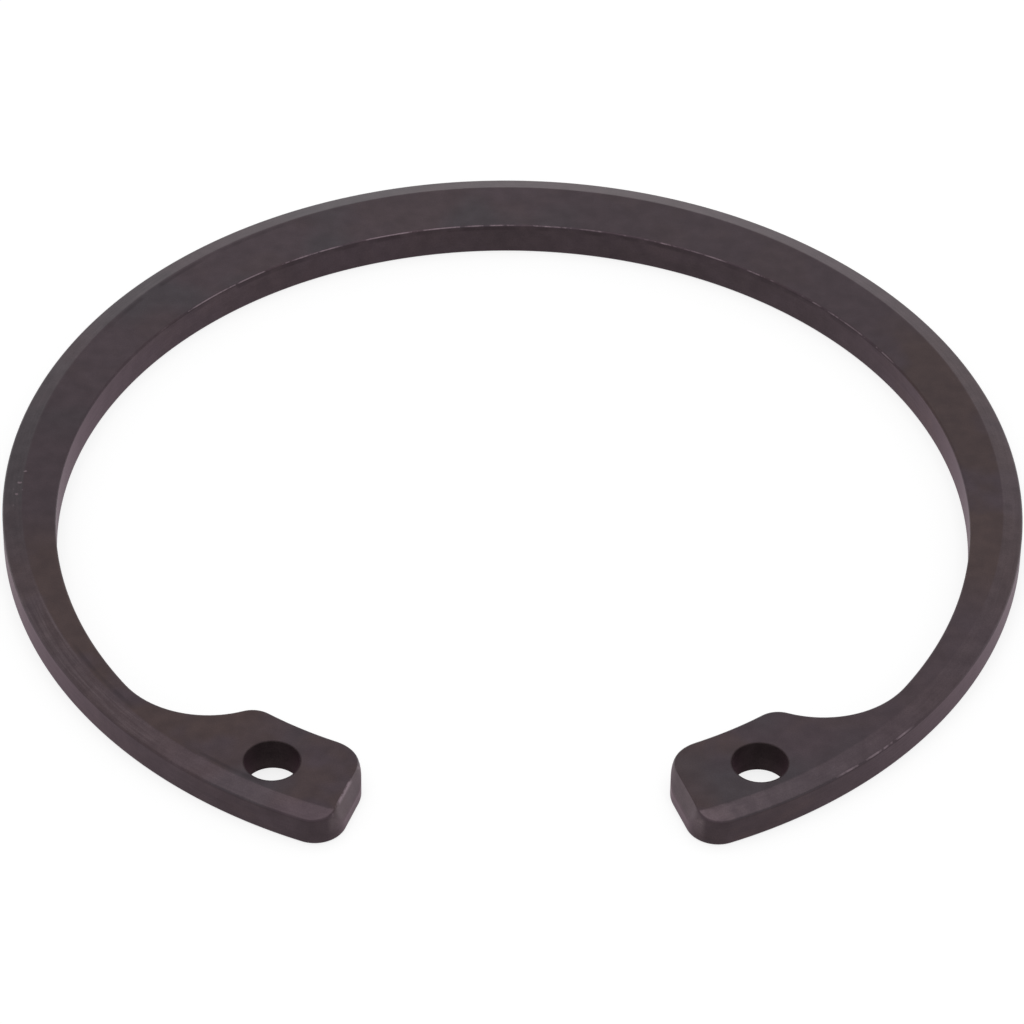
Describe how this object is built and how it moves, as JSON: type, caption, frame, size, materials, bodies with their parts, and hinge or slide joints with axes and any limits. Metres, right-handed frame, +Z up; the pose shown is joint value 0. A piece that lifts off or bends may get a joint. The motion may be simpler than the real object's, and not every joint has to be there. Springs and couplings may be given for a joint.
{
  "type": "circlip retaining ring",
  "caption": "Bevelled internal retaining ring for a bore groove, with a section that tapers towards a gap between inward lugs with plier holes.",
  "frame": {"origin": "centre of the outer wall, on the lower flat face", "axes": "+Z up out of the bevelled face, +X across the ring, -Y out through the middle of the gap"},
  "size_m": [0.0724, 0.0696, 0.0025],
  "materials": {
    "phosphated_steel": "dark phosphated and oiled spring steel, satin, with fine turning streaks on the bevel"
  },
  "bodies": {
    "root": {"ring": "phosphated_steel"}
  },
  "joints": []
}
